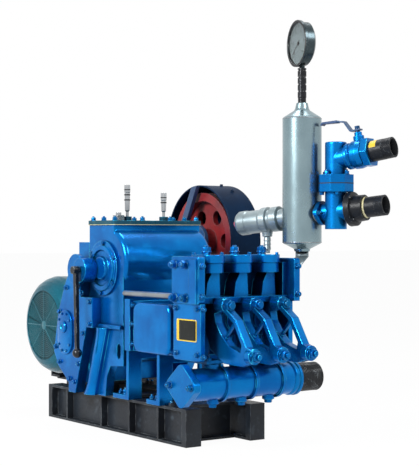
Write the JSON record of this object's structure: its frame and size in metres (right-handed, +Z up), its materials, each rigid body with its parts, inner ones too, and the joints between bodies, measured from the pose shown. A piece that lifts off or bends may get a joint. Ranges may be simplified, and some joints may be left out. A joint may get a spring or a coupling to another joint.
{
  "type": "triplex mud pump",
  "caption": "Skid-mounted horizontal triplex mud pump: crankcase, crosshead housing, valve block, suction pipe, air chamber with gauge, ball valve, clutch lever, belt drive and motor.",
  "frame": {"origin": "on the floor under the middle of the skid, on the underside of the middle cross beam", "axes": "+X from the power end to the fluid end, +Y towards the belt drive, +Z up"},
  "size_m": [1.4591, 0.782, 1.324],
  "materials": {
    "air_chamber": "satin",
    "ball_valve_body": "glossy enamel",
    "belt_guard": "satin",
    "chamber_port_flange": "glossy enamel",
    "clutch_boss": "glossy enamel",
    "clutch_lever": "polished",
    "crank_bearing_covers": "glossy enamel",
    "crankcase": "glossy enamel",
    "crankcase_pedestal": "glossy enamel",
    "crankcase_top_cover": "glossy enamel",
    "crosshead_housing": "glossy enamel",
    "cylinder_bank": "glossy enamel",
    "cylinder_yokes": "glossy enamel",
    "discharge_elbow": "satin",
    "drive_belts": "matte",
    "drive_pulley": "satin",
    "fluid_end_cheeks": "glossy enamel",
    "gauge_case": "polished",
    "gauge_dial": "matte",
    "gauge_stem": "polished",
    "gearbox_housing": "glossy enamel",
    "guard_strap": "glossy enamel",
    "guide_covers": "glossy enamel",
    "guide_supports": "glossy enamel",
    "manifold_end_flange": "glossy enamel",
    "motor_cross_bars": "worn satin",
    "motor_fan_cowl": "satin",
    "motor_fan_grille": "satin",
    "motor_floor_rails": "worn satin",
    "motor_frame": "satin",
    "motor_pulley": "satin",
    "motor_terminal_box": "satin",
    "oil_filler": "polished",
    "oil_sump": "glossy enamel",
    "outlet_nipple": "satin",
    "piston_rods": "polished",
    "relief_flange": "satin",
    "relief_nipple": "satin",
    "safety_valve": "satin",
    "safety_valve_knob": "gloss",
    "shift_lever_far": "polished",
    "shift_lever_near": "polished",
    "skid_cross_beams": "worn satin",
    "skid_rails": "worn satin",
    "suction_coupling": "glossy enamel",
    "suction_manifold": "glossy enamel",
    "suction_nipple": "satin",
    "tee_lower": "glossy enamel",
    "tee_upper": "glossy enamel",
    "tie_rods": "polished",
    "valve_block": "glossy enamel",
    "valve_block_end_plates": "glossy enamel",
    "valve_covers": "glossy enamel",
    "valve_handle": "satin",
    "valve_handle_grip": "matte"
  },
  "bodies": {
    "frame": {"air_chamber": "air_chamber", "ball_valve_body": "ball_valve_body", "belt_guard": "belt_guard", "chamber_port_flange": "chamber_port_flange", "clutch_boss": "clutch_boss", "crank_bearing_covers": "crank_bearing_covers", "crankcase": "crankcase", "crankcase_pedestal": "crankcase_pedestal", "crankcase_top_cover": "crankcase_top_cover", "crosshead_housing": "crosshead_housing", "cylinder_bank": "cylinder_bank", "cylinder_yokes": "cylinder_yokes", "discharge_elbow": "discharge_elbow", "drive_belts": "drive_belts", "fluid_end_cheeks": "fluid_end_cheeks", "gauge_case": "gauge_case", "gauge_dial": "gauge_dial", "gauge_stem": "gauge_stem", "gearbox_housing": "gearbox_housing", "guard_strap": "guard_strap", "guide_covers": "guide_covers", "guide_supports": "guide_supports", "manifold_end_flange": "manifold_end_flange", "motor_cross_bars": "motor_cross_bars", "motor_fan_cowl": "motor_fan_cowl", "motor_fan_grille": "motor_fan_grille", "motor_floor_rails": "motor_floor_rails", "motor_frame": "motor_frame", "motor_terminal_box": "motor_terminal_box", "oil_filler": "oil_filler", "oil_sump": "oil_sump", "outlet_nipple": "outlet_nipple", "piston_rods": "piston_rods", "relief_flange": "relief_flange", "relief_nipple": "relief_nipple", "safety_valve": "safety_valve", "safety_valve_knob": "safety_valve_knob", "skid_cross_beams": "skid_cross_beams", "skid_rails": "skid_rails", "suction_coupling": "suction_coupling", "suction_manifold": "suction_manifold", "suction_nipple": "suction_nipple", "tee_lower": "tee_lower", "tee_upper": "tee_upper", "tie_rods": "tie_rods", "valve_block": "valve_block", "valve_block_end_plates": "valve_block_end_plates", "valve_covers": "valve_covers"},
    "clutch_lever": {"clutch_lever": "clutch_lever"},
    "shift_lever_near": {"shift_lever_near": "shift_lever_near"},
    "shift_lever_far": {"shift_lever_far": "shift_lever_far"},
    "drive_pulley": {"drive_pulley": "drive_pulley"},
    "motor_pulley": {"motor_pulley": "motor_pulley"},
    "valve_handle": {"valve_handle": "valve_handle", "valve_handle_grip": "valve_handle_grip"}
  },
  "joints": [
    {"name": "clutch_lever_swing", "type": "hinge", "parent": "frame", "child": "clutch_lever", "pos_m": [-0.064, -0.249, 0.529], "axis": [0, 1, 0], "range_deg": [-25, 25]},
    {"name": "shift_near_tilt", "type": "hinge", "parent": "frame", "child": "shift_lever_near", "pos_m": [-0.02, -0.078, 0.698], "axis": [0, 1, 0], "range_deg": [-7, 7]},
    {"name": "shift_far_tilt", "type": "hinge", "parent": "frame", "child": "shift_lever_far", "pos_m": [-0.02, 0.067, 0.698], "axis": [0, 1, 0], "range_deg": [-7, 7]},
    {"name": "drive_pulley_spin", "type": "hinge", "parent": "frame", "child": "drive_pulley", "pos_m": [-0.27, 0.45, 0.622], "axis": [0, 1, 0], "continuous": true},
    {"name": "motor_pulley_spin", "type": "hinge", "parent": "frame", "child": "motor_pulley", "pos_m": [-0.492, 0.45, 0.32], "axis": [0, 1, 0], "continuous": true},
    {"name": "valve_handle_turn", "type": "hinge", "parent": "frame", "child": "valve_handle", "pos_m": [0.67657, 0.33663, 0.89377], "axis": [-0.1453, -0.0578, 0.9877], "range_deg": [0, 90]}
  ],
  "couplings": [
    {"joint": "motor_pulley_spin", "follows": "drive_pulley_spin", "ratio": 2.2468}
  ]
}
